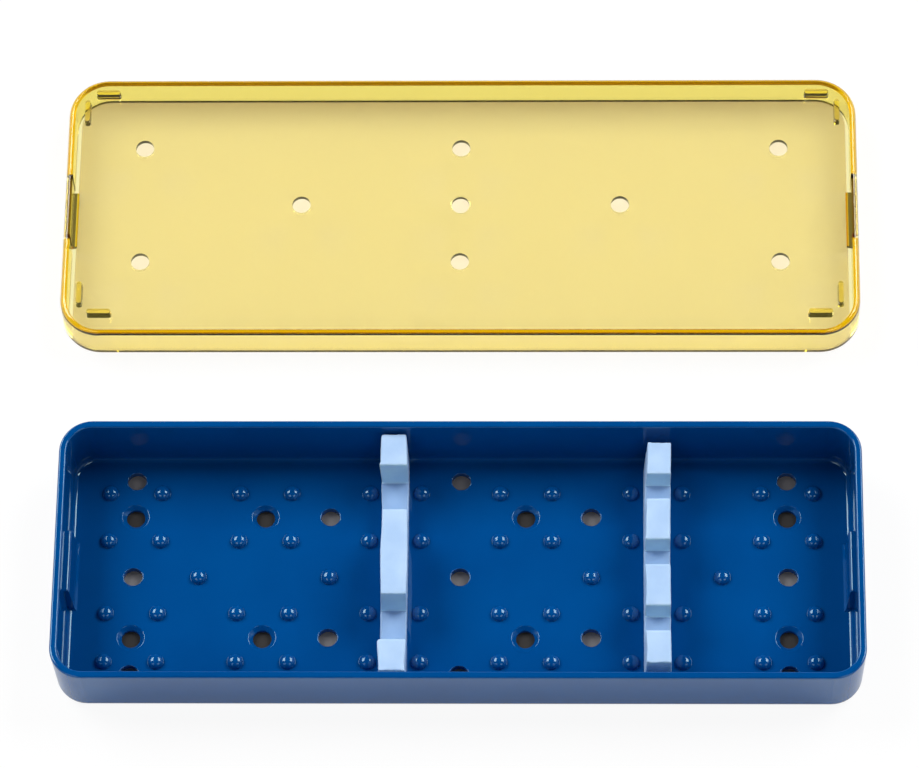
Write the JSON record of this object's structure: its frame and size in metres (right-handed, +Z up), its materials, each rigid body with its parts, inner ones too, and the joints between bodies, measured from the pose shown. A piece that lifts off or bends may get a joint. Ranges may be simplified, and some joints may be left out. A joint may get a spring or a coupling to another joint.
{
  "type": "sterilization tray",
  "caption": "Shallow perforated instrument tray with latch bosses, slotted silicone bars across its floor and a see-through clip-on lid lying beside it.",
  "frame": {"origin": "centre of the base's underside, on the surface that the tray stands on", "axes": "+X along the tray's length, +Y from the base towards the lid lying beside it, +Z up"},
  "size_m": [0.1946, 0.164, 0.0195],
  "materials": {
    "base_plastic": "glossy moulded blue thermoplastic",
    "lid_plastic": "glossy see-through amber thermoplastic",
    "latch_plastic": "glossy see-through amber thermoplastic",
    "silicone": "matt light blue silicone rubber with cut ends"
  },
  "bodies": {
    "base": {"tray_base": "base_plastic"},
    "lid": {"lid": "lid_plastic"},
    "latch_right": {"latch_tongue_right": "latch_plastic"},
    "latch_left": {"latch_tongue_left": "latch_plastic"},
    "bar_two_slots": {"silicone_bar_two_slots": "silicone"},
    "bar_three_slots": {"silicone_bar_three_slots": "silicone"}
  },
  "joints": [
    {"name": "lid_lift", "type": "slide", "parent": "base", "child": "lid", "axis": [0, 0, 1], "range_m": [0, 0.04]},
    {"name": "latch_right_flex", "type": "hinge", "parent": "lid", "child": "latch_right", "pos_m": [0.09635, 0.09575, 0.0087], "axis": [0, -1, 0], "range_deg": [0, 6], "stiffness_Nm_per_rad": 1},
    {"name": "latch_left_flex", "type": "hinge", "parent": "lid", "child": "latch_left", "pos_m": [-0.09795, 0.09575, 0.0087], "axis": [0, 1, 0], "range_deg": [0, 6], "stiffness_Nm_per_rad": 1},
    {"name": "two_slot_bar_pull", "type": "slide", "parent": "base", "child": "bar_two_slots", "axis": [0, 0, 1], "range_m": [0, 0.02]},
    {"name": "three_slot_bar_pull", "type": "slide", "parent": "base", "child": "bar_three_slots", "axis": [0, 0, 1], "range_m": [0, 0.02]}
  ]
}
